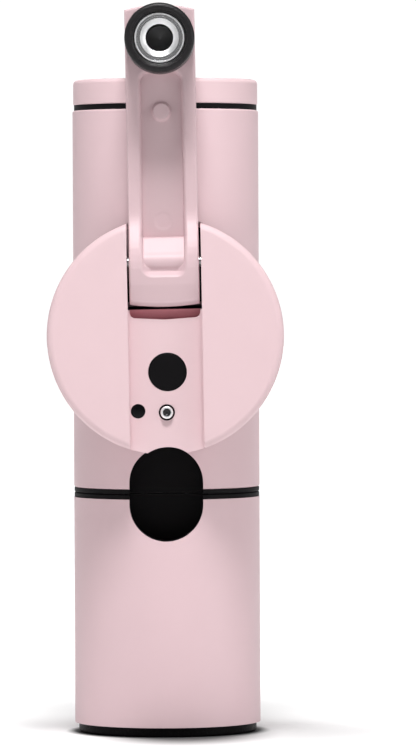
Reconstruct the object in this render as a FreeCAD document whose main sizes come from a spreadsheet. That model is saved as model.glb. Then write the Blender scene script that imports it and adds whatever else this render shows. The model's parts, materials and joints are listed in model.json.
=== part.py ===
import FreeCAD, Part
import math
import os
import types
import Sketcher

# Selfie stick: a cylindrical grip with a telescopic pole inside, a sliding head that
# carries a turning disc, and a folding arm on that disc with a threaded camera socket.
# Origin: centre of the foot's underside. +Z is up, -Y is the front, +X is to the right.

DIMENSIONS = {
    # grip, head and cap, all on the vertical axis
    "shell_radius": 23.2, "shell_wall": 1.6, "shell_bevel": 0.35,
    "foot_radius": 22.2, "foot_height": 2.4, "foot_bevel": 0.5,
    "grip_top": 58.7, "seam_height": 1.2, "seam_split": 0.1, "seam_inset": 0.1,
    "head_top": 155.0, "neck_height": 1.4, "neck_inset": 0.4,
    "cap_radius": 23.0, "cap_height": 6.2, "cap_round": 0.9, "spigot_length": 3.2,
    "slack": 0.05, "fit": 0.02, "passage": 0.1, "chamfer": 0.3, "rim": 0.8, "rim_depth": 0.5,
    # base plate, bulkhead and their screws
    "plate_height": 3.0, "plug_height": 8.0, "bulkhead_top": 151.5, "bulkhead_height": 2.5,
    "boss_reach": 18.2, "boss_radius": 3.6, "boss_height": 11.0,
    "screw_radius": 1.5, "screw_head": 2.6, "screw_head_height": 1.5, "screw_length": 9.0,
    # telescopic pole: five tubes, the first one fixed in the grip
    "tube_radius": 10.4, "tube_wall": 0.8, "tube_step": 1.0, "tube_flare": 0.15,
    "flare_height": 5.0, "tube_top": 139.0, "tube_rise": 2.5, "tube_floor": 0.6,
    "collar_height": 1.5, "collar_lip": 0.4,
    # recess that takes the folded arm's knob
    "recess_radius": 9.1, "recess_low": 57.45, "recess_floor": 13.5, "recess_back": 14.0,
    "liner_wall": 1.2,
    # disc
    "disc_radius": 29.05, "disc_level": 99.1, "disc_back": 23.5, "disc_depth": 9.0,
    "disc_round": 1.8, "strip_half": 9.1, "strip_drop": 3.5, "strip_skin": 1.2,
    "disc_skin": 1.7, "cover_wall": 0.8, "cover_slack": 0.1, "side_wall": 1.2,
    "disc_lean": 0.85,
    "cover_pad": 0.8, "disc_boss": 2.2, "disc_boss_x": 15.5, "disc_boss_z": 12.9,
    "small_screw": 0.9, "small_head": 1.5, "small_head_height": 0.9, "small_length": 5.2,
    "magnet_inner": 23.0, "magnet_outer": 27.2, "magnet_depth": 2.5, "magnet_edge": 14.0,
    "cell_radius": 8.0, "cell_depth": 3.2, "cell_x": 18.7,
    # seat of the disc on the head, and the axle through it
    "seat_radius": 20.0, "seat_face": 23.3, "axle_radius": 3.0, "axle_flange": 5.0,
    "axle_flange_depth": 1.1,
    "axle_end": 16.5, "bush_radius": 5.0, "bush_flange": 6.5, "bush_flange_depth": 1.2,
    "wave_depth": 0.75, "wave_radius": 5.5, "nut_radius": 4.6,
    # hinge of the arm
    "hinge_rise": 18.2, "hinge_depth": 28.0, "pin_radius": 1.2, "pin_half": 13.0,
    "pin_boss": 3.2, "pin_boss_half": 13.6,
    "relief_half": 8.65, "relief_drop": 13.7, "relief_depth": 2.4, "relief_skin": 0.9,
    "relief_round": 1.4, "slot_radius": 11.7, "pocket_wall": 1.0, "pocket_half": 9.3,
    # shutter button, window and latch post on the strip
    "button_drop": 8.8, "button_x": 0.35, "button_radius": 4.68, "button_flange": 5.5,
    "button_travel": 0.4, "button_gap": 0.07, "window_drop": 18.3, "window_x": 7.05, "window_radius": 1.75,
    "post_drop": 18.7, "post_radius": 1.55, "post_height": 1.0, "post_ring": 2.0,
    "post_edge": 0.4, "post_bore": 0.75, "post_bore_floor": 0.5, "post_bore_depth": 0.35,
    "ring_depth": 0.6, "dish_radius": 3.8, "dish_depth": 0.35, "dish_curve": 20.8,
    "board_half": 8.4, "board_low": 74.6, "board_high": 93.6, "board_depth": 0.8,
    "dome_radius": 3.0, "dome_depth": 0.5, "dome_rim": 0.15, "dome_crown": 1.4,
    # folding arm
    "arm_half": 8.6, "arm_thick": 3.3, "arm_tip": 63.0, "arm_tail": 11.0, "tail_thick": 7.3,
    "arm_round": 1.8, "tip_radius": 34.0, "crest": 8.5, "crest_level": 1.5,
    "crest_radius": 13.1, "ramp_top": 5.0, "ramp_top_rise": 6.8, "ramp_foot": 9.2,
    "ramp_foot_rise": 4.35, "ramp_foot_radius": 8.4, "ramp_end": 13.2, "tail_radius": 38.2,
    "tail_edge": 1.4, "tail_bow": 58.0,
    "channel_half": 5.1, "channel_floor": 1.3, "channel_low": 2.1, "channel_high": 46.3,
    "channel_round": 2.0, "saddle_radius": 2.6, "saddle_end": 5.9, "saddle_end_rise": 3.2,
    "saddle_turn": 2.2, "saddle_turn_rise": 5.9, "plan_split": 30.0,
    "plan_half": 10.0,
    "mark_reach": 10.1, "mark_radius": 2.05, "mark_depth": 0.15,
    "keeper_reach": 36.9, "keeper_base": 2.55, "keeper_tip": 1.95, "keeper_height": 1.0,
    "keeper_stem": 1.2, "keeper_stem_depth": 0.8,
    # knob with the camera thread
    "knob_reach": 54.5, "knob_radius": 8.55, "knob_height": 13.0, "knob_round": 1.5,
    "knob_bore": 6.3, "knob_lip": 0.6, "insert_radius": 6.15, "insert_height": 12.2,
    "insert_stem": 4.0, "insert_stem_depth": 2.3, "bevel_radius": 4.6, "bevel_end": 3.5,
    "bevel_depth": 1.1, "thread_radius": 3.175, "thread_floor": 0.6,
    "ring_groove": 5.35, "ring_groove_width": 0.25, "ring_groove_depth": 0.2,
}

V = FreeCAD.Vector
ORIGIN = (0, 0, 0)
UP = FreeCAD.Rotation()
FRONT = FreeCAD.Rotation(V(1, 0, 0), 90)
RIGHT = FreeCAD.Rotation(V(0, 1, 0), 90)

doc = FreeCAD.newDocument("selfie_stick")
sheet = doc.addObject("Spreadsheet::Sheet", "dims")
pieces = []


# ---- sizes that know both their spreadsheet formula and their value ----

class Size:
    """A spreadsheet formula together with the number it stands for."""

    def __init__(self, formula, value):
        self.formula = formula
        self.value = value

    def __add__(self, other):
        other = as_size(other)
        return Size(f"({self.formula} + {other.formula})", self.value + other.value)

    def __sub__(self, other):
        other = as_size(other)
        return Size(f"({self.formula} - {other.formula})", self.value - other.value)

    def __mul__(self, other):
        other = as_size(other)
        return Size(f"({self.formula} * {other.formula})", self.value * other.value)

    def __neg__(self):
        return Size(f"(0 - {self.formula})", -self.value)

    def __radd__(self, other):
        return as_size(other) + self

    def __rsub__(self, other):
        return as_size(other) - self

    def __rmul__(self, other):
        return as_size(other) * self


def as_size(thing):
    if isinstance(thing, Size):
        return thing
    return Size(f"({float(thing)})", float(thing))


def fill_sheet():
    """Write each driving dimension to its own cell and name it."""
    named = {}
    for row, (alias, value) in enumerate(DIMENSIONS.items(), start=1):
        sheet.set(f"A{row}", str(value))
        sheet.setAlias(f"A{row}", alias)
        named[alias] = Size(f"dims.{alias}", value)
    doc.recompute()
    return types.SimpleNamespace(**named)


d = fill_sheet()


# ---- building blocks ----

def bind(obj, **sizes):
    for prop, size in sizes.items():
        obj.setExpression(prop, as_size(size).formula)


def place(obj, at, aim=UP):
    obj.Placement = FreeCAD.Placement(V(0, 0, 0), aim)
    for letter, size in zip("xyz", at):
        obj.setExpression(f"Placement.Base.{letter}", as_size(size).formula)


def cylinder(name, radius, length, at, aim=UP):
    obj = doc.addObject("Part::Cylinder", name)
    bind(obj, Radius=radius, Height=length)
    place(obj, at, aim)
    return obj


def upright(name, radius, low, high, x=0, y=0):
    """A cylinder along Z between two heights."""
    return cylinder(name, radius, as_size(high) - low, (x, y, low))


def inward(name, radius, back, front, x=0, z=0):
    """A cylinder along Y; back and front are distances in front of the axis."""
    return cylinder(name, radius, as_size(front) - back, (x, -as_size(back), z), FRONT)


def crosswise(name, radius, half, centre_x=0):
    """A cylinder along X on the hinge line, centred on centre_x."""
    at = (as_size(centre_x) - half, -d.hinge_depth, hinge_level)
    return cylinder(name, radius, as_size(half) * 2, at, RIGHT)


def block(name, x, y, z):
    """A box from its lowest to its highest x, y and z."""
    obj = doc.addObject("Part::Box", name)
    low = [as_size(pair[0]) for pair in (x, y, z)]
    high = [as_size(pair[1]) for pair in (x, y, z)]
    bind(obj, Length=high[0] - low[0], Width=high[1] - low[1], Height=high[2] - low[2])
    place(obj, low)
    return obj


def fuse(name, *parts):
    obj = doc.addObject("Part::MultiFuse", name)
    obj.Shapes = list(parts)
    return obj


def common(name, *parts):
    obj = doc.addObject("Part::MultiCommon", name)
    obj.Shapes = list(parts)
    return obj


def cut(name, base, *tools):
    obj = doc.addObject("Part::Cut", name)
    obj.Base = base
    obj.Tool = tools[0] if len(tools) == 1 else fuse(name + "_tools", *tools)
    return obj


def arc_centre(start, end, radius):
    """Centre of the arc from start to end; a positive radius turns anticlockwise."""
    middle = (start + end) * 0.5
    chord = end - start
    side = V(-chord.y, chord.x, 0).normalize()
    reach = math.sqrt(max(radius * radius - chord.Length ** 2 / 4, 0))
    return middle + side * math.copysign(reach, radius)


def outline(body, plane, corners, offset=0):
    """A closed sketch: a corner is (u, v), or (u, v, radius) where an arc leaves it."""
    sketch = body.newObject("Sketcher::SketchObject", body.Name + "_outline")
    base = [item for item in body.Origin.OriginFeatures if item.Role == plane][0]
    sketch.AttachmentSupport = (base, "")
    sketch.MapMode = "FlatFace"
    sketch.setExpression("AttachmentOffset.Base.z", as_size(offset).formula)
    spots = [V(as_size(c[0]).value, as_size(c[1]).value, 0) for c in corners]
    ends = []
    for index, corner in enumerate(corners):
        start, end = spots[index], spots[(index + 1) % len(spots)]
        if len(corner) == 2:
            sketch.addGeometry(Part.LineSegment(start, end), False)
            ends.append((1, 2))
            continue
        radius = as_size(corner[2])
        centre = arc_centre(start, end, radius.value)
        first, last = (start, end) if radius.value > 0 else (end, start)
        angles = [math.atan2(p.y - centre.y, p.x - centre.x) for p in (first, last)]
        circle = Part.Circle(centre, V(0, 0, 1), abs(radius.value))
        sketch.addGeometry(Part.ArcOfCircle(circle, angles[0], angles[1]), False)
        ends.append((1, 2) if radius.value > 0 else (2, 1))
    for index, corner in enumerate(corners):
        after = (index + 1) % len(corners)
        join = Sketcher.Constraint("Coincident", index, ends[index][1], after, ends[after][0])
        sketch.addConstraint(join)
        for kind, size in (("DistanceX", corner[0]), ("DistanceY", corner[1])):
            size = as_size(size)
            rule = Sketcher.Constraint(kind, -1, 1, index, ends[index][0], size.value)
            sketch.setExpression(f"Constraints[{sketch.addConstraint(rule)}]", size.formula)
        if len(corner) == 3:
            radius = as_size(corner[2])
            if radius.value < 0:
                radius = -radius
            rule = Sketcher.Constraint("Radius", index, radius.value)
            sketch.setExpression(f"Constraints[{sketch.addConstraint(rule)}]", radius.formula)
    return sketch


def turned(name, corners, at=ORIGIN, aim=UP):
    """A body of revolution from (radius, height) corners."""
    body = doc.addObject("PartDesign::Body", name)
    spin = body.newObject("PartDesign::Revolution", name + "_turn")
    spin.Profile = outline(body, "XZ_Plane", corners)
    spin.ReferenceAxis = (spin.Profile[0], ["V_Axis"])
    spin.Angle = 360
    body.Tip = spin
    place(body, at, aim)
    return body


def ring(name, inner, outer, low, high, at=ORIGIN, aim=UP):
    """A plain tube or washer, as a body of revolution."""
    corners = [(inner, low), (outer, low), (outer, high), (inner, high)]
    return turned(name, corners, at, aim)


def padded(name, plane, corners, length, offset=0, midplane=False):
    """A body padded from a closed outline."""
    body = doc.addObject("PartDesign::Body", name)
    pad = body.newObject("PartDesign::Pad", name + "_pad")
    pad.Profile = outline(body, plane, corners, offset)
    pad.Midplane = midplane
    bind(pad, Length=length)
    body.Tip = pad
    return body


def around(count, start):
    """Unit directions (x, y) of screws spread evenly round the vertical axis."""
    turns = [math.radians(start + 360 * index / count) for index in range(count)]
    return [(round(math.cos(turn), 6), round(math.sin(turn), 6)) for turn in turns]


def piece(label, obj):
    """Hand a finished sub-part over: its label is its node's name."""
    obj.Label = label
    pieces.append(obj)
    return obj


def leaning(label, obj):
    """Hand over a sub-part that rides on the disc, which stands slightly turned."""
    lean = math.radians(d.disc_lean.value)
    level, angle = d.disc_level, d.disc_lean.formula
    whole = doc.addObject("Part::Compound", label)
    whole.Links = [obj]
    whole.Placement = FreeCAD.Placement(V(0, 0, 0), FreeCAD.Rotation(V(0, -1, 0), 1))
    whole.setExpression("Placement.Rotation.Angle", angle)
    shift = Size(f"({level.formula} * sin({angle}))", level.value * math.sin(lean))
    lift = Size(f"({level.formula} * (1 - cos({angle})))", level.value * (1 - math.cos(lean)))
    whole.setExpression("Placement.Base.x", shift.formula)
    whole.setExpression("Placement.Base.z", lift.formula)
    return piece(label, whole)


# ---- levels and depths that several parts share ----

hinge_level = d.disc_level + d.hinge_rise
shell_inside = d.shell_radius - d.shell_wall
lower_split = d.grip_top + d.seam_height
upper_split = lower_split + d.seam_split
head_base = upper_split + d.seam_height
neck_top = d.head_top + d.neck_height
cap_top = neck_top + d.cap_height
plate_top = d.foot_height + d.plate_height
bulkhead_base = d.bulkhead_top - d.bulkhead_height
recess_high = hinge_level - d.knob_reach
recess_wall = d.recess_radius + d.liner_wall
disc_face = d.disc_back + d.disc_depth
strip_face = disc_face - d.strip_drop
strip_back = strip_face - d.strip_skin
cover_front = d.disc_back + d.cover_wall
lobe_front = disc_face - d.disc_skin
seat_inside = d.seat_face - d.shell_wall
# limits that lie beyond the disc and arm: in front of them, above them and behind them
FAR = 40.0
TALL = 140.0
DEEP = 20.0


def stadium(name, radius, back, low=None, high=None):
    """The recess's upright slot shape, from a depth out to beyond the front."""
    lower = inward(name + "_low", radius, back, FAR, z=d.recess_low)
    upper = inward(name + "_high", radius, back, FAR, z=recess_high)
    middle = block(name + "_mid", (-radius, radius), (-FAR, -as_size(back)),
                   (d.recess_low, recess_high))
    whole = fuse(name, lower, upper, middle)
    if low is None:
        return whole
    band = block(name + "_band", (-FAR, FAR), (-FAR, 0), (low, high))
    return common(name + "_part", whole, band)


# ---- grip ----

def shell_blank(name, low, high):
    """A round shell with bevelled outer rims."""
    bevel = d.shell_bevel
    inner, outer = shell_inside, d.shell_radius
    return turned(name, [
        (inner, low), (outer - bevel, low), (outer, low + bevel),
        (outer, high - bevel), (outer - bevel, high), (inner, high)])


def bosses(name, directions, low, high):
    """Screw bosses along the inside of a shell, trimmed to its outer wall."""
    columns = []
    for index, (x, y) in enumerate(directions):
        columns.append(upright(f"{name}_{index}", d.boss_radius, low, high,
                               d.boss_reach * x, d.boss_reach * y))
    limit = upright(name + "_limit", d.shell_radius - 0.5, low, high)
    return common(name, fuse(name + "_all", *columns), limit)


def screw_holes(name, directions, radius, low, high):
    holes = []
    for index, (x, y) in enumerate(directions):
        holes.append(upright(f"{name}_{index}", radius, low, high,
                             d.boss_reach * x, d.boss_reach * y))
    return fuse(name, *holes)


def screw_set(label, directions, reach, head, shank_tip):
    """Cylinder-head screws pointing along Z; head is (low, high)."""
    solids = []
    for index, (x, y) in enumerate(directions):
        place_x, place_y = reach * x, reach * y
        crown = upright(f"{label}_head_{index}", d.screw_head, head[0], head[1],
                        place_x, place_y)
        low, high = shank_tip
        shank = upright(f"{label}_shank_{index}", d.screw_radius, low, high,
                        place_x, place_y)
        solids.append(fuse(f"{label}_screw_{index}", crown, shank))
    return piece(label, fuse(label + "_set", *solids))


def make_grip():
    directions = around(3, 90)
    piece("base_foot", turned("foot", [
        (0, 0), (d.foot_radius - d.foot_bevel, 0), (d.foot_radius, d.foot_bevel),
        (d.foot_radius, d.foot_height), (0, d.foot_height)]))

    shell = shell_blank("grip_blank", d.foot_height, d.grip_top)
    columns = bosses("grip_bosses", directions, plate_top, plate_top + d.boss_height)
    holes = screw_holes("grip_threads", directions, d.screw_radius + d.fit,
                        plate_top - 1, plate_top + d.boss_height - 1)
    piece("lower_shell", cut("grip_shell", fuse("grip_body", shell, columns),
                             stadium("grip_recess", d.recess_radius, d.recess_back), holes))

    head_seat = d.foot_height + d.screw_head_height
    inner_tube = d.tube_radius - d.tube_wall - d.tube_step * 4
    plate = turned("plate_blank", [
        (0, d.foot_height), (shell_inside - d.slack, d.foot_height),
        (shell_inside - d.slack, plate_top), (d.tube_radius + 1.6, plate_top),
        (d.tube_radius + 1.6, plate_top + d.plug_height),
        (d.tube_radius + d.fit, plate_top + d.plug_height),
        (d.tube_radius + d.fit, plate_top), (0, plate_top)])
    passages = screw_holes("plate_passages", directions, d.screw_radius + d.passage,
                           d.foot_height, plate_top + 1)
    seats = screw_holes("plate_seats", directions, d.screw_head + d.passage,
                        d.foot_height - 1, head_seat)
    piece("base_plate", cut("plate", plate, passages, seats))
    screw_set("base_screws", directions, d.boss_reach, (d.foot_height + d.slack, head_seat),
              (head_seat, plate_top + d.screw_length))

    lower = turned("lower_ring_blank", ring_profile(d.grip_top, lower_split))
    piece("lower_seam_ring", cut("lower_ring", lower,
                                 stadium("lower_ring_recess", d.recess_radius, d.recess_back)))
    liner("recess_liner_lower", plate_top, lower_split)


def ring_profile(low, high):
    """Seam ring section: its outer edges are slightly rounded off."""
    outer = d.shell_radius - d.seam_inset
    bevel = 0.2
    return [(shell_inside, low), (outer - bevel, low), (outer, low + bevel),
            (outer, high - bevel), (outer - bevel, high), (shell_inside, high)]


def liner(label, low, high):
    """One half of the recess's liner: walls behind the shell and a flat floor."""
    outer = stadium(label + "_outer", recess_wall, d.recess_floor - d.liner_wall, low, high)
    inner = stadium(label + "_inner", d.recess_radius, d.recess_floor)
    reach = upright(label + "_reach", shell_inside - d.slack, low, high)
    piece(label, cut(label + "_cup", common(label + "_body", outer, reach), inner))


# ---- telescopic pole ----

def make_pole():
    """Five nested tubes; each stands a little higher than the one round it."""
    for number in range(5):
        outer = d.tube_radius - d.tube_step * number
        inner = outer - d.tube_wall
        low = plate_top + d.tube_floor * number
        top = d.tube_top + d.tube_rise * number
        if number == 4:
            top = bulkhead_base
        corners = [(inner, low), (outer, low), (outer, top), (inner, top)]
        if number > 0:
            flare = outer + d.tube_flare
            corners[1:2] = [(flare, low), (flare, low + d.flare_height),
                            (outer, low + d.flare_height)]
        piece(f"pole_tube_{number + 1}", turned(f"tube_{number + 1}", corners))
        if number < 4:
            bore = outer - d.tube_step + d.slack
            piece(f"pole_collar_{number + 1}", ring(
                f"collar_{number + 1}", bore, outer + d.collar_lip, top,
                top + d.collar_height))


# ---- head ----

def make_head():
    directions = around(3, 90)
    shell = shell_blank("head_blank", head_base, d.head_top)
    seat = inward("head_seat", d.seat_radius, 8.0, d.seat_face, z=d.disc_level)
    columns = bosses("head_bosses", directions, bulkhead_base - d.boss_height,
                     bulkhead_base)
    hollow = upright("head_hollow", shell_inside, head_base, d.head_top)
    seat_hollow = inward("seat_hollow", d.seat_radius - d.shell_wall, 0.0, seat_inside,
                         z=d.disc_level)
    body = fuse("head_body", shell, cut("head_pad", seat, hollow, seat_hollow), columns)
    holes = screw_holes("head_threads", directions, d.screw_radius + d.fit,
                        bulkhead_base - d.boss_height + 1, bulkhead_base + 1)
    tail_way = crosswise("head_tail_way", d.slot_radius, d.pocket_half)
    bush_hole = inward("head_bush_hole", d.bush_radius, 15.0, FAR, z=d.disc_level)
    piece("upper_shell", cut("head_shell", body, holes, tail_way, bush_hole,
                             inner_wall_gap(),
                             stadium("head_recess", d.recess_radius, d.recess_back)))

    upper = turned("upper_ring_blank", ring_profile(upper_split, head_base))
    piece("upper_seam_ring", cut("upper_ring", upper,
                                 stadium("upper_ring_recess", d.recess_radius, d.recess_back)))
    liner("recess_liner_upper", upper_split, d.disc_level)
    make_tail_pocket()
    make_top(directions)


def inner_wall_gap():
    """The shell's own wall is opened behind the seat, so the seat is one hollow boss."""
    return inward("seat_opening", d.seat_radius - d.shell_wall, 0.0, seat_inside,
                  z=d.disc_level)


def make_tail_pocket():
    """A curved black pocket that the arm's tail swings through."""
    outer = crosswise("pocket_outer", d.slot_radius + d.pocket_wall,
                      d.pocket_half + d.pocket_wall)
    inner = crosswise("pocket_inner", d.slot_radius, d.pocket_half)
    behind_shell = upright("pocket_round", shell_inside - d.slack, head_base, d.head_top)
    behind_seat = inward("pocket_flat", d.seat_radius - d.shell_wall - d.slack, 0.0,
                         seat_inside - d.slack, z=d.disc_level)
    space = fuse("pocket_space", behind_shell, behind_seat)
    piece("tail_pocket_liner", cut("pocket", common("pocket_body", outer, space), inner))


def make_top(directions):
    plug = d.tube_radius - d.tube_step * 4 - d.tube_wall - d.fit
    blank = turned("bulkhead_blank", [
        (0, bulkhead_base - d.plug_height), (plug, bulkhead_base - d.plug_height),
        (plug, bulkhead_base), (shell_inside - d.slack, bulkhead_base),
        (shell_inside - d.slack, d.bulkhead_top), (0, d.bulkhead_top)])
    passages = screw_holes("bulkhead_passages", directions, d.screw_radius + d.passage,
                           bulkhead_base - 1, d.bulkhead_top + 1)
    piece("head_bulkhead", cut("bulkhead", blank, passages))
    screw_set("bulkhead_screws", directions, d.boss_reach,
              (d.bulkhead_top, d.bulkhead_top + d.screw_head_height),
              (bulkhead_base - d.screw_length + 1, d.bulkhead_top))

    spigot = shell_inside - d.slack
    neck_bore = spigot + d.slack
    piece("neck_ring", ring("neck", neck_bore, d.shell_radius - d.neck_inset,
                            d.head_top, neck_top))
    radius, edge = d.cap_radius, d.cap_round
    piece("top_cap", turned("cap", [
        (0, cap_top - d.shell_wall), (spigot - d.shell_wall, cap_top - d.shell_wall),
        (spigot - d.shell_wall, neck_top - d.spigot_length),
        (spigot, neck_top - d.spigot_length), (spigot, neck_top),
        (radius - d.chamfer, neck_top), (radius, neck_top + d.chamfer),
        (radius, cap_top - edge, edge), (radius - edge, cap_top), (0, cap_top)]))


# ---- disc ----

def slot(name, radius, half):
    """The way for the arm's root: round about the hinge and open to the top rim."""
    barrel = crosswise(name + "_round", radius, half)
    above = block(name + "_above", (-half, half), (-FAR, 0), (hinge_level, TALL))
    return fuse(name, barrel, above)


def notch(name, radius):
    """The bite out of the disc's lower rim, round the folded knob."""
    return inward(name, radius, 0.0, FAR, z=recess_high)


def disc_corners():
    """Places (x, z) of the four cover screws."""
    x, z = d.disc_boss_x, d.disc_boss_z
    return [(x, d.disc_level + z), (-x, d.disc_level + z),
            (x, d.disc_level - z), (-x, d.disc_level - z)]


def four(name, radius, back, front):
    """Four cylinders along Y at the cover screws."""
    return fuse(name, *[inward(f"{name}_{index}", radius, back, front, x=x, z=z)
                        for index, (x, z) in enumerate(disc_corners())])


def make_disc():
    radius, edge, depth = d.disc_radius, d.disc_round, d.disc_depth
    blank = turned("disc_blank", [
        (0, 0), (radius - d.chamfer, 0), (radius, d.chamfer), (radius, depth - edge, edge),
        (radius - edge, depth), (0, depth)], (0, -d.disc_back, d.disc_level), FRONT)
    groove = block("disc_groove", (-d.strip_half, d.strip_half), (-FAR, -strip_face),
                   (0, TALL))
    room = inward("disc_room", radius - d.disc_skin, DEEP, lobe_front, z=d.disc_level)
    strip_wall = d.strip_half + d.side_wall
    half, turn, low = d.relief_half, d.relief_round, reach(-d.relief_drop)
    relief_face = strip_face - d.relief_depth
    relief = padded("relief", "XZ_Plane", [
        (-half, hinge_level), (-half, low + turn, turn), (turn - half, low, d.tail_bow),
        (half - turn, low, turn), (half, low + turn), (half, hinge_level)], DEEP, relief_face)
    dish = turned("dish", [
        (0, -d.dish_depth, d.dish_curve), (d.dish_radius, 0), (d.dish_radius, 2), (0, 2)],
        (0, -strip_face, post_level), FRONT)
    keep = fuse(
        "disc_keep",
        block("keep_strip", (-strip_wall, strip_wall), (-FAR, -strip_back), (0, TALL)),
        slot("keep_slot", d.slot_radius + d.side_wall, strip_wall),
        block("keep_relief", (-half - d.side_wall, half + d.side_wall),
              (-FAR, d.relief_skin - relief_face), (low - d.side_wall * 1.5, hinge_level)),
        notch("keep_notch", recess_wall),
        crosswise("keep_pin", d.pin_boss, d.pin_boss_half),
        four("keep_bosses", d.disc_boss, cover_front + d.cover_pad, lobe_front))
    leaning("disc_front", cut(
        "disc_shell", blank, groove, cut("disc_hollow", room, keep),
        slot("disc_slot", d.slot_radius, d.strip_half), notch("disc_notch", d.recess_radius),
        crosswise("disc_pin_hole", d.pin_radius + d.fit, d.pin_half),
        inward("button_hole", d.button_radius + 0.08, DEEP, FAR, x=d.button_x, z=button_level),
        inward("window_hole", d.window_radius, DEEP, FAR, x=-d.window_x, z=window_level),
        inward("post_hole", d.post_radius + d.fit, DEEP, FAR, z=post_level),
        inward("post_ring", d.post_ring, strip_face - d.ring_depth, FAR, z=post_level),
        relief, dish,
        four("disc_threads", d.small_screw + d.fit, DEEP, lobe_front - 0.5)))

    slack = d.cover_slack
    plate = inward("cover_plate", radius - d.disc_skin - slack, d.disc_back, cover_front,
                   z=d.disc_level)
    pads = four("cover_pads", d.disc_boss, cover_front, cover_front + d.cover_pad)
    leaning("disc_back_cover", cut(
        "cover", fuse("cover_body", plate, pads),
        slot("cover_slot", d.slot_radius + d.side_wall + slack, strip_wall + slack),
        notch("cover_notch", recess_wall + slack),
        inward("cover_axle_hole", d.axle_radius + d.slack, DEEP, FAR, z=d.disc_level),
        four("cover_passages", d.small_screw + d.passage, DEEP, FAR),
        four("cover_seats", d.small_head + d.passage, DEEP, head_depth + d.small_head_height)))
    heads = four("cover_heads", d.small_head, head_depth, head_depth + d.small_head_height)
    shanks = four("cover_shanks", d.small_screw, head_depth, head_depth + d.small_length)
    leaning("cover_screws", fuse("cover_screw_set", heads, shanks))
    make_disc_contents()


button_level = d.disc_level - d.button_drop
window_level = d.disc_level - d.window_drop
post_level = d.disc_level - d.post_drop
head_depth = d.disc_back + 0.1
dome_front = cover_front + d.board_depth + d.dome_depth
button_back = dome_front + d.button_travel + d.button_gap


def make_disc_contents():
    lobe = inward("magnet_ring", d.magnet_outer, lobe_front - d.magnet_depth, lobe_front,
                  z=d.disc_level)
    core = inward("magnet_core", d.magnet_inner, DEEP, FAR, z=d.disc_level)
    middle = block("magnet_middle", (-d.magnet_edge, d.magnet_edge), (-FAR, 0), (0, TALL))
    leaning("phone_magnets", cut("magnets", lobe, core, middle))

    leaning("coin_cell", turned("cell", [
        (0, 0), (d.cell_radius, 0), (d.cell_radius, d.cell_depth - 0.5),
        (d.cell_radius - 0.6, d.cell_depth - 0.5), (d.cell_radius - 0.6, d.cell_depth),
        (0, d.cell_depth)], (d.cell_x, -cover_front, d.disc_level), FRONT))

    board = d.board_half
    leaning("circuit_board", padded("board", "XZ_Plane", [
        (-board, d.board_low), (board, d.board_low), (board, d.board_high),
        (-board, d.board_high)], d.board_depth, cover_front))
    board_front = cover_front + d.board_depth
    leaning("dome_switch", turned("dome", [
        (0, 0), (d.dome_radius, 0), (d.dome_radius, d.dome_rim),
        (d.dome_crown, d.dome_depth), (0, d.dome_depth)],
        (d.button_x, -board_front, button_level), FRONT))

    flange_depth = strip_back - button_back
    leaning("shutter_button", turned("button", [
        (0, 0), (d.button_flange, 0), (d.button_flange, flange_depth),
        (d.button_radius, flange_depth), (d.button_radius, strip_face - button_back - 0.15),
        (d.button_radius - 0.15, strip_face - button_back), (0, strip_face - button_back)],
        (d.button_x, -button_back, button_level), FRONT))

    leaning("indicator_window", turned("window", [
        (0, 0), (d.window_radius + d.rim, 0), (d.window_radius + d.rim, d.rim_depth),
        (d.window_radius - d.fit, d.rim_depth), (d.window_radius - d.fit, d.strip_skin + 0.45),
        (0, d.strip_skin + 0.45)], (-d.window_x, -strip_back + d.rim_depth, window_level), FRONT))
    tip = d.strip_skin + d.post_height
    leaning("latch_post", turned("post", [
        (0, -d.rim_depth), (d.post_radius + d.rim, -d.rim_depth), (d.post_radius + d.rim, 0),
        (d.post_radius, 0), (d.post_radius, tip - d.post_edge, d.post_edge),
        (d.post_radius - d.post_edge, tip),
        (d.post_bore, tip), (d.post_bore_floor, tip - d.post_bore_depth),
        (0, tip - d.post_bore_depth)],
        (0, -strip_back, post_level), FRONT))

    leaning("hinge_pin", crosswise("pin", d.pin_radius, d.pin_half - d.slack))
    make_axle()


def make_axle():
    """The disc's axle, its bush in the head, and the washer and nut that load it."""
    reach = cover_front - d.axle_end
    flange = d.axle_flange_depth
    leaning("disc_axle", turned("axle", [
        (0, -reach), (d.axle_radius - d.chamfer, -reach), (d.axle_radius, d.chamfer - reach),
        (d.axle_radius, 0), (d.axle_flange, 0), (d.axle_flange, flange), (0, flange)],
        (0, -cover_front, d.disc_level), FRONT))
    bore, radius = d.axle_radius + d.slack, d.bush_radius - d.fit
    inner, deep = seat_inside - d.bush_flange_depth, d.disc_back - d.slack
    piece("axle_bush", turned("bush", [
        (bore, 0), (d.bush_flange, 0), (d.bush_flange, d.bush_flange_depth),
        (radius, d.bush_flange_depth), (radius, deep - inner), (bore, deep - inner)],
        (0, -inner, d.disc_level), FRONT))
    wave_front = inner - d.slack
    wave_back = wave_front - d.wave_depth
    leaning("wave_washer", ring("wave", bore, d.wave_radius, 0, d.wave_depth,
                              (0, -wave_back, d.disc_level), FRONT))
    nut = doc.addObject("Part::Prism", "nut_blank")
    nut.Polygon = 6
    bind(nut, Circumradius=d.nut_radius, Height=wave_back - d.axle_end - d.rim_depth)
    place(nut, (0, -(d.axle_end + d.rim_depth), d.disc_level), FRONT)
    hole = inward("nut_hole", d.axle_radius + d.fit, 10.0, FAR, z=d.disc_level)
    leaning("axle_nut", cut("nut", nut, hole))


# ---- folding arm, drawn open, standing up in front of the head ----

def rise(size):
    """The y of a height above the arm's outer face."""
    return -(d.disc_back + size)


def reach(size):
    """The z of a distance along the arm from its hinge."""
    return hinge_level + size


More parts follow.
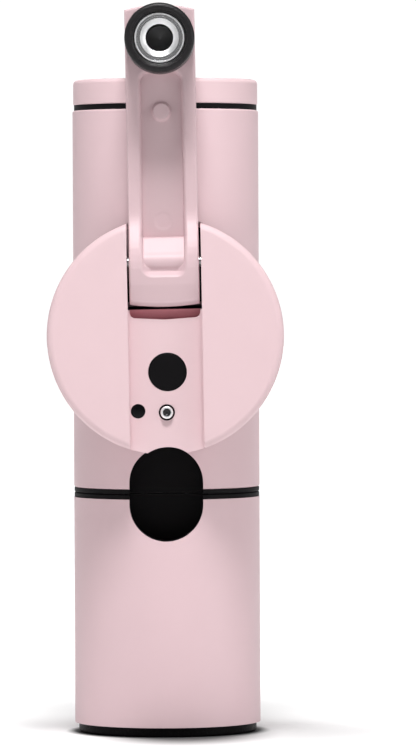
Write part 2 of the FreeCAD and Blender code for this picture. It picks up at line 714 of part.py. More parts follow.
def make_arm():
    side = padded("arm_side", "YZ_Plane", [
        (rise(0), reach(d.arm_round - d.arm_tail)), (rise(0), reach(d.arm_tip)),
        (rise(d.arm_thick), reach(d.arm_tip)),
        (rise(d.arm_thick), reach(d.ramp_end), -d.ramp_foot_radius),
        (rise(d.ramp_foot_rise), reach(d.ramp_foot)),
        (rise(d.ramp_top_rise), reach(d.ramp_top), d.crest_radius),
        (rise(d.crest), reach(-d.crest_level), d.tail_radius),
        (rise(d.tail_thick), reach(d.tail_edge - d.arm_tail), d.tail_edge),
        (rise(d.tail_thick - d.tail_edge), reach(-d.arm_tail)),
        (rise(d.arm_round), reach(-d.arm_tail), d.arm_round)],
        d.arm_half * 2, midplane=True)
    tail_edge = cylinder("arm_tail_edge", d.tail_bow, FAR,
                         (0, 0, reach(d.tail_bow - d.arm_tail)), FRONT)
    tip_edge = cylinder("arm_tip_edge", d.tip_radius, FAR,
                        (0, 0, hinge_level + d.arm_tip - d.tip_radius), FRONT)
    tail_half = block("arm_tail_half", (-d.plan_half, d.plan_half), (-FAR, 0),
                      (reach(-d.plan_split), reach(d.plan_split)))
    tip_half = block("arm_tip_half", (-d.plan_half, d.plan_half), (-FAR, 0),
                     (reach(d.plan_split), reach(d.plan_split * 3)))
    plan = fuse("arm_plan", common("arm_plan_tail", tail_edge, tail_half),
                common("arm_plan_tip", tip_edge, tip_half))
    shape = common("arm_shape", side, plan)

    half, turn = d.channel_half, d.channel_round
    low, high = reach(-d.channel_low), reach(d.channel_high)
    channel = padded("channel", "XZ_Plane", [
        (half, low + turn), (half, high - turn, turn), (half - turn, high),
        (turn - half, high, turn), (-half, high - turn), (-half, low + turn, turn),
        (turn - half, low), (half - turn, low, turn)], DEEP, d.disc_back + d.channel_floor)
    saddle = padded("saddle", "YZ_Plane", [
        (-d.disc_back, reach(-d.channel_low - 1)), (-d.disc_back, reach(d.saddle_end)),
        (rise(d.saddle_end_rise), reach(d.saddle_end)),
        (rise(d.saddle_turn_rise), reach(d.saddle_turn), d.saddle_radius),
        (-(d.hinge_depth + d.saddle_radius), reach(0)),
        (-(d.hinge_depth + d.saddle_radius), reach(-d.channel_low - 1))],
        half * 4, midplane=True)
    mark = inward("mark", d.mark_radius, d.disc_back + d.channel_floor - d.mark_depth,
                  FAR, z=reach(d.mark_reach))
    stem_hole = inward("keeper_hole", d.keeper_stem + d.fit,
                       d.disc_back + d.channel_floor - d.keeper_stem_depth - d.slack,
                       FAR, z=reach(d.keeper_reach))
    insert_hole = inward("insert_hole", d.insert_stem + d.fit,
                         d.disc_back + d.arm_thick - d.insert_stem_depth - d.slack, FAR,
                         z=reach(d.knob_reach))
    leaning("swing_arm", cut(
        "arm", shape, cut("channel_tool", channel, saddle), mark, stem_hole, insert_hole,
        crosswise("arm_pin_hole", d.pin_radius + d.slack, 12.0)))

    leaning("latch_keeper", turned("keeper", [
        (0, -d.keeper_stem_depth), (d.keeper_stem, -d.keeper_stem_depth),
        (d.keeper_stem, 0), (d.keeper_base, 0), (d.keeper_tip, d.keeper_height),
        (0, d.keeper_height)],
        (0, rise(d.channel_floor), reach(d.keeper_reach)), FRONT))
    make_knob()


def make_knob():
    seat = (0, rise(d.arm_thick), reach(d.knob_reach))
    outer, bore, tall = d.knob_radius, d.knob_bore, d.knob_height
    leaning("rubber_ring", turned("grip_ring", [
        (bore, 0), (outer - d.chamfer, 0), (outer, 0.3), (outer, tall - d.knob_round, d.knob_round),
        (outer - d.knob_round, tall), (bore + d.knob_lip, tall, d.knob_lip),
        (bore, tall - d.knob_lip)], seat, FRONT))
    face, groove = d.insert_height, d.ring_groove
    leaning("camera_socket", turned("socket", [
        (0, -d.insert_stem_depth), (d.insert_stem, -d.insert_stem_depth),
        (d.insert_stem, 0), (d.insert_radius, 0), (d.insert_radius, face - 0.25),
        (d.insert_radius - 0.25, face), (groove + d.ring_groove_width, face),
        (groove + d.ring_groove_width, face - d.ring_groove_depth),
        (groove, face - d.ring_groove_depth), (groove, face), (d.bevel_radius, face),
        (d.bevel_end, face - d.bevel_depth), (d.thread_radius, face - d.bevel_depth),
        (d.thread_radius, d.thread_floor), (0, d.thread_floor)], seat, FRONT))


def check_all():
    """Stop if anything failed to build, or a sub-part isn't a sound solid."""
    doc.recompute()
    for obj in doc.Objects:
        bad = [state for state in obj.State if state in ("Invalid", "Error")]
        if bad:
            raise RuntimeError(f"{obj.Name} ({obj.Label}) failed: {bad}")
    for obj in pieces:
        if obj.Shape.isNull() or not obj.Shape.isValid() or not obj.Shape.Solids:
            raise RuntimeError(f"{obj.Label} isn't a valid solid")


def write_all():
    os.makedirs("parts", exist_ok=True)
    for obj in pieces:
        obj.Shape.exportStep(f"parts/{obj.Label}.step")
        box = obj.Shape.BoundBox
        print(f"{obj.Label:22s} {len(obj.Shape.Solids)} solid(s) {obj.Shape.Volume:10.1f} mm3"
              f"  x {box.XMin:.1f}..{box.XMax:.1f}  y {box.YMin:.1f}..{box.YMax:.1f}"
              f"  z {box.ZMin:.1f}..{box.ZMax:.1f}")


make_grip()
make_pole()
make_head()
make_disc()
make_arm()
check_all()
write_all()
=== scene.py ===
import json
import math

import bmesh
import bpy
from mathutils import Matrix, Vector

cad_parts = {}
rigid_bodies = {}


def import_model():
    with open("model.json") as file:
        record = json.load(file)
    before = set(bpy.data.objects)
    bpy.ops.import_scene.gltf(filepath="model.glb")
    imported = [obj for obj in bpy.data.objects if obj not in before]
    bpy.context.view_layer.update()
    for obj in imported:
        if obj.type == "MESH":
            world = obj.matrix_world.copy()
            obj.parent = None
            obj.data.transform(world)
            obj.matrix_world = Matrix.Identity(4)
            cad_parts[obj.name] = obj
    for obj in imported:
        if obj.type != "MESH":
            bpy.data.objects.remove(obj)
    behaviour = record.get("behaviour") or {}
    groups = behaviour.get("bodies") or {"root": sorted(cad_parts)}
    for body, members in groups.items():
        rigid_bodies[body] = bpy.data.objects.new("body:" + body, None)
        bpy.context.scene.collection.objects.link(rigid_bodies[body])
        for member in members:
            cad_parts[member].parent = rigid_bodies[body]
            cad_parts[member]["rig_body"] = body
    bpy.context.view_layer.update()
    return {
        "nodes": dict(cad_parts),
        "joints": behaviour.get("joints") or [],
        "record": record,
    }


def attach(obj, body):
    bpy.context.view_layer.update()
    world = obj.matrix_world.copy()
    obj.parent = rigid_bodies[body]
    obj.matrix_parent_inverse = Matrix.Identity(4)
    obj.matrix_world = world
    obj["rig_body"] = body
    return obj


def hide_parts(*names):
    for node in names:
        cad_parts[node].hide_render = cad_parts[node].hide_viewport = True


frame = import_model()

# Sizes below are in millimetres, in the frame of the CAD model: +Z up, -Y the front.
# A piece is built in millimetres and scaled to metres when it is handed over.
MM = 0.001
ROUND_STEPS = 256
ARC_STEP = 7.5

nodes = frame["nodes"]
joints = {joint["name"]: joint for joint in frame["joints"]}

# The disc, and the arm and the button with it, stand slightly turned about the disc's axle.
turn_axis = joints["disc_turn"]
fold_axis = joints["arm_fold"]["axis"]
LEAN = math.atan2(fold_axis[2], fold_axis[0])
DISC_CENTRE = Vector(turn_axis["pos_m"]) / MM
TILT = (Matrix.Translation(DISC_CENTRE) @ Matrix.Rotation(-LEAN, 4, "Y")
        @ Matrix.Translation(-DISC_CENTRE))
TILTED_BODIES = ("disc", "arm", "button")


def span(node):
    """Lowest and highest corner of a CAD node in millimetres, with the disc's turn undone."""
    obj = nodes[node]
    undo = TILT.inverted() if obj["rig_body"] in TILTED_BODIES else Matrix.Identity(4)
    points = [undo @ (vertex.co / MM) for vertex in obj.data.vertices]
    low = Vector([min(point[axis] for point in points) for axis in range(3)])
    high = Vector([max(point[axis] for point in points) for axis in range(3)])
    return low, high


# ---- outlines ----

def arc_points(start, end, radius):
    """Points from start to end on an arc; a positive radius turns anticlockwise."""
    start, end = Vector(start), Vector(end)
    chord = end - start
    side = Vector((-chord.y, chord.x)).normalized()
    height = math.sqrt(max(radius * radius - chord.length_squared / 4, 0.0))
    centre = (start + end) / 2 + side * math.copysign(height, radius)
    first = math.atan2(start.y - centre.y, start.x - centre.x)
    last = math.atan2(end.y - centre.y, end.x - centre.x)
    sweep = (last - first) % math.tau if radius > 0 else -((first - last) % math.tau)
    count = max(2, math.ceil(math.degrees(abs(sweep)) / ARC_STEP))
    return [(centre.x + abs(radius) * math.cos(first + sweep * step / count),
             centre.y + abs(radius) * math.sin(first + sweep * step / count))
            for step in range(count)]


def trace(corners):
    """A closed outline: a corner is (u, v), or (u, v, radius) where an arc leaves it."""
    points = []
    for index, corner in enumerate(corners):
        following = corners[(index + 1) % len(corners)]
        if len(corner) == 3:
            points += arc_points(corner[:2], following[:2], corner[2])
        else:
            points.append(tuple(corner))
    return points


# ---- meshes ----

def as_object(name, mesh):
    bmesh.ops.remove_doubles(mesh, verts=mesh.verts, dist=1e-4)
    bmesh.ops.recalc_face_normals(mesh, faces=mesh.faces)
    data = bpy.data.meshes.new(name)
    mesh.to_mesh(data)
    mesh.free()
    obj = bpy.data.objects.new(name, data)
    bpy.context.scene.collection.objects.link(obj)
    return obj


def upright_at(radius, angle, height, centre):
    return (centre[0] + radius * math.cos(angle), centre[1] + radius * math.sin(angle),
            centre[2] + height)


def forward_at(radius, angle, height, centre):
    return (centre[0] + radius * math.cos(angle), centre[1] - height,
            centre[2] + radius * math.sin(angle))


def crosswise_at(radius, angle, height, centre):
    return (centre[0] + height, centre[1] + radius * math.cos(angle),
            centre[2] + radius * math.sin(angle))


def turned(name, corners, centre=(0, 0, 0), where=upright_at, steps=ROUND_STEPS):
    """A body of revolution from (radius, height) corners; where() sets its axis."""
    mesh = bmesh.new()
    profile = trace(corners)
    columns = []
    for step in range(steps):
        angle = math.tau * step / steps
        columns.append([mesh.verts.new(where(radius, angle, height, centre))
                        for radius, height in profile])
    for left, right in zip(columns, columns[1:] + columns[:1]):
        for index in range(len(profile)):
            after = (index + 1) % len(profile)
            if profile[index][0] == 0 and profile[after][0] == 0:
                continue
            mesh.faces.new((left[index], right[index], right[after], left[after]))
    bmesh.ops.remove_doubles(mesh, verts=mesh.verts, dist=1e-4)
    return as_object(name, mesh)


def prism(name, corners, place, low, high):
    """A closed outline swept straight; place(u, v, depth) gives a point."""
    mesh = bmesh.new()
    outline = trace(corners)
    near = [mesh.verts.new(place(u, v, low)) for u, v in outline]
    far = [mesh.verts.new(place(u, v, high)) for u, v in outline]
    mesh.faces.new(near)
    mesh.faces.new(list(reversed(far)))
    for index in range(len(outline)):
        after = (index + 1) % len(outline)
        mesh.faces.new((near[index], far[index], far[after], near[after]))
    return as_object(name, mesh)


def front_place(x, z, depth):
    """For outlines seen from the front: depth is the distance in front of the axis."""
    return (x, -depth, z)


def apply_modifiers(obj):
    graph = bpy.context.evaluated_depsgraph_get()
    data = bpy.data.meshes.new_from_object(obj.evaluated_get(graph))
    obj.modifiers.clear()
    obj.data = data
    return obj


def combine(obj, tool, operation):
    """Join, cut or intersect obj with another object, which is used up."""
    modifier = obj.modifiers.new(operation, "BOOLEAN")
    modifier.operation = operation
    modifier.solver = "EXACT"
    modifier.object = tool
    bpy.context.view_layer.update()
    apply_modifiers(obj)
    bpy.data.objects.remove(tool)
    return obj


def cut(obj, *tools):
    for tool in tools:
        combine(obj, tool, "DIFFERENCE")
    return obj


def soften(obj, width, segments, sharper_than):
    """Round every edge that turns by more than an angle in degrees."""
    modifier = obj.modifiers.new("soften", "BEVEL")
    modifier.width = width
    modifier.segments = segments
    modifier.limit_method = "ANGLE"
    modifier.angle_limit = math.radians(sharper_than)
    modifier.miter_outer = "MITER_ARC"
    bpy.context.view_layer.update()
    return apply_modifiers(obj)


def hand_over(obj, body, material, slot, *replaced):
    """Scale a piece to metres, turn it with the disc if it rides there, and finish it."""
    if body in TILTED_BODIES:
        obj.data.transform(TILT)
    obj.data.transform(Matrix.Scale(MM, 4))
    for polygon in obj.data.polygons:
        polygon.use_smooth = True
    sharp = obj.modifiers.new("normals", "WEIGHTED_NORMAL")
    sharp.keep_sharp = True
    sharp.weight = 100
    obj.data.set_sharp_from_angle(angle=math.radians(32))
    obj.data.materials.clear()
    obj.data.materials.append(material)
    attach(obj, body)
    if replaced:
        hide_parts(*replaced)
    return obj


def recolour(obj, inside, material):
    """Give another material to the faces whose centre, in mm and untilted, passes the test."""
    obj.data.materials.append(material)
    upright = TILT.inverted()
    for polygon in obj.data.polygons:
        if inside(upright @ (polygon.center / MM)):
            polygon.material_index = len(obj.data.materials) - 1


# ---- materials ----

class Graph:
    """A node material, with short ways to add and wire nodes."""

    def __init__(self, name):
        self.material = bpy.data.materials.new(name)
        self.material.use_nodes = True
        self.nodes = self.material.node_tree.nodes
        self.links = self.material.node_tree.links
        self.surface = next(n for n in self.nodes if n.type == "BSDF_PRINCIPLED")
        self.place = self.add("ShaderNodeTexCoord").outputs["Object"]

    def add(self, kind, **settings):
        node = self.nodes.new(kind)
        for key, value in settings.items():
            setattr(node, key, value)
        return node

    def wire(self, output, target, socket):
        self.links.new(output, target.inputs[socket])

    def set(self, **values):
        for key, value in values.items():
            self.surface.inputs[key.replace("_", " ")].default_value = value

    def noise(self, size, detail=2.0, stretch=(1, 1, 1)):
        """Noise whose grains are about size millimetres, in the object's own metres."""
        mapping = self.add("ShaderNodeMapping")
        mapping.inputs["Scale"].default_value = stretch
        self.wire(self.place, mapping, "Vector")
        node = self.add("ShaderNodeTexNoise")
        node.inputs["Scale"].default_value = 1 / (size * MM)
        node.inputs["Detail"].default_value = detail
        self.wire(mapping.outputs["Vector"], node, "Vector")
        return node.outputs["Fac"]

    def ramp(self, value, low, high):
        """Turn a 0-1 value into a number between low and high."""
        node = self.add("ShaderNodeMapRange")
        node.inputs["To Min"].default_value = low
        node.inputs["To Max"].default_value = high
        self.wire(value, node, "Value")
        return node.outputs["Result"]

    def tint(self, value, dark, light):
        node = self.add("ShaderNodeMix", data_type="RGBA")
        node.inputs["A"].default_value = (*dark, 1)
        node.inputs["B"].default_value = (*light, 1)
        self.wire(value, node, "Factor")
        self.wire(node.outputs["Result"], self.surface, "Base Color")

    def bump(self, value, height):
        """Raise the surface by up to height millimetres."""
        node = self.add("ShaderNodeBump")
        node.inputs["Distance"].default_value = height * MM
        node.inputs["Strength"].default_value = 1.0
        self.wire(value, node, "Height")
        for previous in self.surface.inputs["Normal"].links:
            self.wire(previous.from_socket, node, "Normal")
        self.wire(node.outputs["Normal"], self.surface, "Normal")

    def roughen(self, value, low, high):
        self.wire(self.ramp(value, low, high), self.surface, "Roughness")


def around(colour, spread):
    """A darker and a lighter neighbour of a colour."""
    return ([channel * (1 - spread) for channel in colour],
            [min(1.0, channel * (1 + spread)) for channel in colour])


def paint(name, colour):
    """Fine matt powder coat: slight mottle, tiny orange peel and grain."""
    graph = Graph(name)
    graph.tint(graph.noise(9.0), *around(colour, 0.012))
    graph.roughen(graph.noise(1.4), 0.44, 0.52)
    graph.set(Specular_IOR_Level=0.42)
    graph.bump(graph.noise(0.55, 3.0), 0.004)
    graph.bump(graph.noise(0.12, 2.0), 0.0015)
    return graph.material


def rubber(name, colour, shine=0.24):
    """Moulded rubber: fine pits and worn, slightly paler patches."""
    graph = Graph(name)
    graph.tint(graph.noise(0.5, 4.0), *around(colour, 0.8))
    graph.roughen(graph.noise(0.6), 0.26, 0.50)
    graph.set(Specular_IOR_Level=shine)
    graph.bump(graph.noise(0.45, 4.0), 0.12)
    return graph.material


def plastic(name, colour, low, high, shine=0.45):
    """Moulded plastic with a spark-eroded grain."""
    graph = Graph(name)
    graph.set(Specular_IOR_Level=shine)
    graph.tint(graph.noise(5.0), *around(colour, 0.06))
    graph.roughen(graph.noise(0.5), low, high)
    graph.bump(graph.noise(0.18, 2.0), 0.004)
    return graph.material


def metal(name, colour, low, high, stretch=(1, 1, 1), grain=0.003):
    """Metal with fine tool marks along the axis that stretch leaves long."""
    graph = Graph(name)
    graph.set(Metallic=1.0)
    graph.tint(graph.noise(3.0), *around(colour, 0.05))
    graph.roughen(graph.noise(0.5, 3.0, stretch), low, high)
    graph.bump(graph.noise(0.15, 2.0, stretch), grain)
    return graph.material


def lathed_metal(name, colour, centre, ring_width, low, high):
    """Metal turned on a lathe about an axis along Y: fine rings about a centre."""
    graph = Graph(name)
    graph.set(Metallic=1.0)
    shift = graph.add("ShaderNodeVectorMath", operation="SUBTRACT")
    shift.inputs[1].default_value = [value * MM for value in centre]
    graph.wire(graph.place, shift, 0)
    flatten = graph.add("ShaderNodeVectorMath", operation="MULTIPLY")
    flatten.inputs[1].default_value = (1, 0, 1)
    graph.wire(shift.outputs["Vector"], flatten, 0)
    radius = graph.add("ShaderNodeVectorMath", operation="LENGTH")
    graph.wire(flatten.outputs["Vector"], radius, 0)
    rings = graph.add("ShaderNodeTexNoise", noise_dimensions="1D")
    rings.inputs["Scale"].default_value = 1 / (ring_width * MM)
    rings.inputs["Detail"].default_value = 3.0
    graph.wire(radius.outputs["Value"], rings, "W")
    graph.tint(rings.outputs["Fac"], *around(colour, 0.10))
    graph.roughen(rings.outputs["Fac"], low, high)
    graph.bump(rings.outputs["Fac"], 0.006)
    return graph.material


PINK = (0.700, 0.510, 0.540)
PINK_LIGHT = (0.715, 0.525, 0.552)
# the arm gets a darker copy of the shell's pink: painted shade for the knob's shadow on the arm
PINK_ARM_PAINTED_SHADE = (0.625, 0.455, 0.482)
# a darker, redder pink for the relief under the arm's tail: painted shade
PINK_RELIEF_PAINTED_SHADE = (0.650, 0.240, 0.280)

knob_low, knob_high = span("rubber_ring")
KNOB_LEVEL = (knob_low.z + knob_high.z) / 2
KNOB_CENTRE = TILT @ Vector((0, knob_high.y, KNOB_LEVEL))
hinge_point = TILT.inverted() @ (Vector(joints["arm_fold"]["pos_m"]) / MM)
HINGE_LEVEL, HINGE_DEPTH = hinge_point.z, -hinge_point.y
KNOB_FOLDED = 2 * HINGE_LEVEL - KNOB_LEVEL

finish = {
    "pink_shell": paint("pink_shell", PINK),
    "pink_disc": paint("pink_disc", PINK_LIGHT),
    "pink_arm": paint("pink_arm", PINK_ARM_PAINTED_SHADE),
    "black_rubber": rubber("black_rubber", (0.012, 0.011, 0.012)),
    "black_plastic": plastic("black_plastic", (0.0035, 0.003, 0.0037), 0.50, 0.62, 0.10),
    "black_gloss": plastic("black_gloss", (0.003, 0.003, 0.004), 0.10, 0.16, 0.2),
    "nickel": lathed_metal("nickel", (0.60, 0.60, 0.61), KNOB_CENTRE, 0.30, 0.18, 0.36),
    "steel": metal("steel", (0.52, 0.52, 0.53), 0.22, 0.35),
    "pole_metal": metal("pole_metal", (0.60, 0.60, 0.62), 0.26, 0.40, (1, 1, 0.03)),
    "brass": metal("brass", (0.66, 0.49, 0.24), 0.28, 0.42),
    "magnet": metal("magnet", (0.58, 0.58, 0.60), 0.18, 0.30),
    "board": plastic("board", (0.020, 0.120, 0.060), 0.30, 0.45),
    "grey_plastic": plastic("grey_plastic", (0.12, 0.12, 0.125), 0.45, 0.6),
}

# second materials of pieces whose faces don't all look alike, painted shade and painted
# highlights among them
# near-black metal as painted shade: the socket's bore near its mouth and the post's dished
# centre
dark_painted_shade_metal = metal("steel_painted_shade", (0.05, 0.05, 0.052), 0.30, 0.45)
drilled = metal("drilled_steel", (0.50, 0.50, 0.51), 0.34, 0.46)
# near-white metal as a painted highlight on the socket's bevel and rim and on the post's ring
painted_highlight_metal = metal("painted_highlight_metal", (0.93, 0.93, 0.94), 0.42, 0.52)
relief_painted_shade = paint("relief_painted_shade", PINK_RELIEF_PAINTED_SHADE)
foot_rubber = rubber("foot_rubber", (0.006, 0.0055, 0.006), 0.04)

slot_of = {row["node"]: row["material_slot"] for row in frame["record"]["subparts"]}
for name, obj in nodes.items():
    obj.data.materials.clear()
    obj.data.materials.append(finish[slot_of[name]])


def finished(obj, node):
    """Hand a piece over in place of the CAD node whose body and material it takes."""
    slot = slot_of[node]
    return hand_over(obj, nodes[node]["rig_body"], finish[slot], slot, node)


# ---- grip, head and cap ----

LINER_WALL = 1.2
SHELL_WALL = 1.6
NOTCH_STEPS = 40
BACK_STEPS = 200


def make_foot():
    _, high = span("base_foot")
    radius, height = high.x, high.z
    lip, sole = 0.6, 0.35
    foot = turned("rubber_foot", [
        (0, sole), (radius - 3.2, sole), (radius - 2.6, 0), (radius - lip, 0, lip),
        (radius, lip), (radius, height - 0.25, 0.25), (radius - 0.25, height), (0, height)])
    finished(foot, "base_foot")
    foot.data.materials[0] = foot_rubber


def recess_sizes():
    """Radius of the recess and the level of the centre of its lower round end."""
    low, high = span("recess_liner_lower")
    return high.x - LINER_WALL, low.z + high.x


def make_lower_shell():
    """The grip's sleeve, with a round notch in its upper rim for the folded knob."""
    low, high = span("lower_shell")
    outer = high.x
    inner = outer - SHELL_WALL
    radius, notch_level = recess_sizes()
    front = []
    for step in range(NOTCH_STEPS + 1):
        turn = math.pi * step / NOTCH_STEPS
        front.append((-radius * math.cos(turn), notch_level - radius * math.sin(turn)))
    edge = [(-radius, high.z)] + front + [(radius, high.z)]
    mesh = bmesh.new()
    loops = [[], [], [], []]
    for x, top in edge:
        for loop, size, level in zip(loops, (outer, outer, inner, inner),
                                     (low.z, top, top, low.z)):
            loop.append(mesh.verts.new((x, -math.sqrt(size * size - x * x), level)))
    for step in range(1, BACK_STEPS):
        part = step / BACK_STEPS
        for loop, size, level in zip(loops, (outer, outer, inner, inner),
                                     (low.z, high.z, high.z, low.z)):
            half = math.asin(radius / size)
            angle = half + (math.tau - 2 * half) * part
            loop.append(mesh.verts.new((size * math.sin(angle), -size * math.cos(angle), level)))
    total = len(loops[0])
    for index in range(total):
        after = (index + 1) % total
        for here, there in zip(loops, loops[1:] + loops[:1]):
            mesh.faces.new((here[index], here[after], there[after], there[index]))
    shell = as_object("grip_shell", mesh)
    soften(shell, 0.28, 3, 40)
    finished(shell, "lower_shell")


def make_cap():
    low, high = span("top_cap")
    neck_low, neck_high = span("neck_ring")
    outer = neck_high.x + 0.2
    base, top = neck_high.z, high.z
    lower, upper = 0.3, 1.1
    cap = turned("cap", [
        (0, low.z), (outer - 2, low.z), (outer - 2, base), (outer - lower, base, lower),
        (outer, base + lower), (outer, top - upper, upper), (outer - upper, top),
        (0, top)])
    finished(cap, "top_cap")
    inset = 0.12
    ring = turned("neck_gasket", [
        (neck_high.x - 2, neck_low.z), (neck_high.x - inset, neck_low.z, inset),
        (neck_high.x, neck_low.z + inset), (neck_high.x, neck_high.z - inset, inset),
        (neck_high.x - inset, neck_high.z), (neck_high.x - 2, neck_high.z)])
    finished(ring, "neck_ring")


# ---- disc ----

STRIP_HALF = 9.1
STRIP_DROP = 3.5
SLOT_RADIUS = 11.7
RELIEF_HALF = 8.65
RELIEF_DROP = 13.7
RELIEF_DEPTH = 2.4
RELIEF_ROUND = 1.4
DISC_ROUND = 1.8
DISH_RADIUS = 3.8
DISH_DEPTH = 0.35
DISH_CURVE = 20.8
POST_GAP_RADIUS = 2.0
POST_GAP_DEPTH = 0.6
TAIL_BOW = 58.0
# beyond the disc's front, and above its top
FAR = 45.0
HIGH = 200


def hole(name, radius, back, x, z, steps=96):
    """A cutter along Y, from a depth behind out to beyond the front."""
    return turned(name, [(0, back), (radius, back), (radius, FAR), (0, FAR)],
                  (x, 0, z), forward_at, steps)


def make_disc():
    low, high = span("disc_front")
    radius, level = high.x, DISC_CENTRE.z
    back, face = -high.y, -low.y
    strip_face = face - STRIP_DROP
    tall, edge, back_edge = face - back, DISC_ROUND, 0.4
    disc = turned("disc_plate", [
        (0, 0), (radius - back_edge, 0, back_edge), (radius, back_edge),
        (radius, tall - edge, edge), (radius - edge, tall), (0, tall)],
        (0, -back, level), forward_at)
    groove = prism("groove", [(-STRIP_HALF, 0), (STRIP_HALF, 0), (STRIP_HALF, HIGH),
                              (-STRIP_HALF, HIGH)], front_place, strip_face, FAR)
    slot = turned("slot", [(0, -STRIP_HALF), (SLOT_RADIUS, -STRIP_HALF),
                           (SLOT_RADIUS, STRIP_HALF), (0, STRIP_HALF)],
                  (0, -HINGE_DEPTH, HINGE_LEVEL), crosswise_at, 180)
    recess_radius, _ = recess_sizes()
    notch = hole("notch", recess_radius, 0, 0, KNOB_FOLDED, 180)
    button_low, button_high = span("shutter_button")
    window_low, window_high = span("indicator_window")
    post_low, post_high = span("latch_post")
    button_level = (button_low.z + button_high.z) / 2
    button_x = (button_low.x + button_high.x) / 2
    window_x, window_z = (window_low.x + window_high.x) / 2, (window_low.z + window_high.z) / 2
    post_z = (post_low.z + post_high.z) / 2
    foot, half, turn = HINGE_LEVEL - RELIEF_DROP, RELIEF_HALF, RELIEF_ROUND
    relief = prism("relief", [
        (-half, HINGE_LEVEL), (-half, foot + turn, turn), (turn - half, foot, TAIL_BOW),
        (half - turn, foot, turn), (half, foot + turn), (half, HINGE_LEVEL)],
        front_place, strip_face - RELIEF_DEPTH, FAR)
    dish = turned("dish", [(0, -DISH_DEPTH, DISH_CURVE), (DISH_RADIUS, 0), (DISH_RADIUS, 2),
                           (0, 2)], (0, -strip_face, post_z), forward_at, 96)
    cut(disc, groove, slot, notch, relief, dish,
        hole("button_hole", 4.76, 0, button_x, button_level),
        hole("window_hole", 1.80, 0, window_x, window_z, 64),
        hole("post_hole", POST_GAP_RADIUS, strip_face - POST_GAP_DEPTH, 0, post_z, 64))
    soften(disc, 0.22, 3, 35)
    finished(disc, "disc_front")

    def painted_shade_gap_faces(point):
        """The slot's round wall and the narrow gap round the post, which are made black: painted
        shade.
        """
        slot_gap = abs(math.hypot(-point.y - HINGE_DEPTH, point.z - HINGE_LEVEL) - SLOT_RADIUS)
        post_gap = math.hypot(point.x, point.z - post_z)
        in_slot = abs(point.x) < STRIP_HALF - 0.05 and -point.y < strip_face - 0.3
        in_gap = post_gap < POST_GAP_RADIUS + 0.05 and -point.y < strip_face - 0.1
        return in_slot and slot_gap < 0.4 or in_gap

    def painted_shade_relief_faces(point):
        """The relief below the slot, under the arm's tail, which takes a darker red: painted
        shade.
        """
        return (abs(point.x) < RELIEF_HALF + 0.1 and -point.y < strip_face - 0.2
                and HINGE_LEVEL - RELIEF_DROP - 0.1 < point.z < HINGE_LEVEL)

    # the relief under the arm's tail is painted a darker red: painted shade
    recolour(disc, painted_shade_relief_faces, relief_painted_shade)
    # the slot's wall and the gap round the post are made black: painted shade
    recolour(disc, painted_shade_gap_faces, finish["black_plastic"])


def make_button():
    low, high = span("shutter_button")
    x, level = (low.x + high.x) / 2, (low.z + high.z) / 2
    back, face = -high.y, -low.y
    radius, flange = 4.65, 5.5
    button = turned("button_cap", [
        (0, 0), (flange, 0), (flange, 0.45), (radius, 0.45),
        (radius, face - back - 0.35, 0.35), (radius - 0.35, face - back),
        (0, face - back)], (x, -back, level), forward_at, 128)
    finished(button, "shutter_button")


def make_window():
    low, high = span("indicator_window")
    x, z = (low.x + high.x) / 2, (low.z + high.z) / 2
    back, face = -high.y, -low.y
    window = turned("light_window", [
        (0, 0), (2.5, 0), (2.5, 0.5), (1.72, 0.5), (1.72, face - back - 0.35, 0.3),
        (1.42, face - back - 0.05), (0, face - back)], (x, -back, z), forward_at, 64)
    finished(window, "indicator_window")


def make_post():
    low, high = span("latch_post")
    z = (low.z + high.z) / 2
    back, face = -high.y, -low.y
    tall = face - back
    post = turned("magnet_post", [
        (0, 0), (2.3, 0), (2.3, 0.5), (1.55, 0.5), (1.55, tall - 0.35, 0.35), (1.2, tall),
        (1.02, tall, -0.9), (0.55, tall - 0.55, -0.4), (0.2, tall - 0.62), (0, tall - 0.62)],
        (0, -back, z), forward_at, 96)
    finished(post, "latch_post")
    # the post's dished centre is near black, painted shade, and its ring near white, a painted
    # highlight
    recolour(post, lambda point: math.hypot(point.x, point.z - z) < 0.95
             and -point.y > face - 1, dark_painted_shade_metal)
    recolour(post, lambda point: 0.95 < math.hypot(point.x, point.z - z) < 1.54
             and -point.y > face - 0.5, painted_highlight_metal)


# ---- folding arm ----

# Along the arm, t is the distance from the hinge's axis; across its thickness, h is the
# height above its back.
ARM_SIDE = 8.6
ARM_THICK = 3.3
ARM_EDGE = 0.5
TIP_EDGE = 0.4
TIP_BOW = 34.0
CHANNEL_HALF = 5.0
CHANNEL_FLOOR = 1.3
CHANNEL_LOW = -1.6
CHANNEL_HIGH = 46.3
CHANNEL_ROUND = 2.0
SIDE_WALL = 0.95
END_WALL = 2.3
BARREL = 2.6
BARREL_CENTRE = 4.5
STEP_AT = 5.9
MARK_AT = 10.1


def smooth(value, low, high):
    part = min(1.0, max(0.0, (value - low) / (high - low)))
    return part * part * (3 - 2 * part)


def read_off(points, t):
    """Height at t on a line of (h, t) points that runs from high t to low t."""
    for (h0, t0), (h1, t1) in zip(points, points[1:]):
        if t1 <= t <= t0:
            return h0 if t0 == t1 else h0 + (h1 - h0) * (t0 - t) / (t0 - t1)
    return points[-1][0]


def channel_floor(t):
    """Height of the channel's floor, with the barrel round the hinge's pin at its low end."""
    if t > STEP_AT:
        return CHANNEL_FLOOR + 1.9 * smooth(STEP_AT + 0.22 - t, 0, 0.22)
    if t > 2.2:
        return 3.2 + (STEP_AT - t) * 2.7 / 3.7
    return BARREL_CENTRE + math.sqrt(max(BARREL ** 2 - max(t, -2.3) ** 2, 0.0))


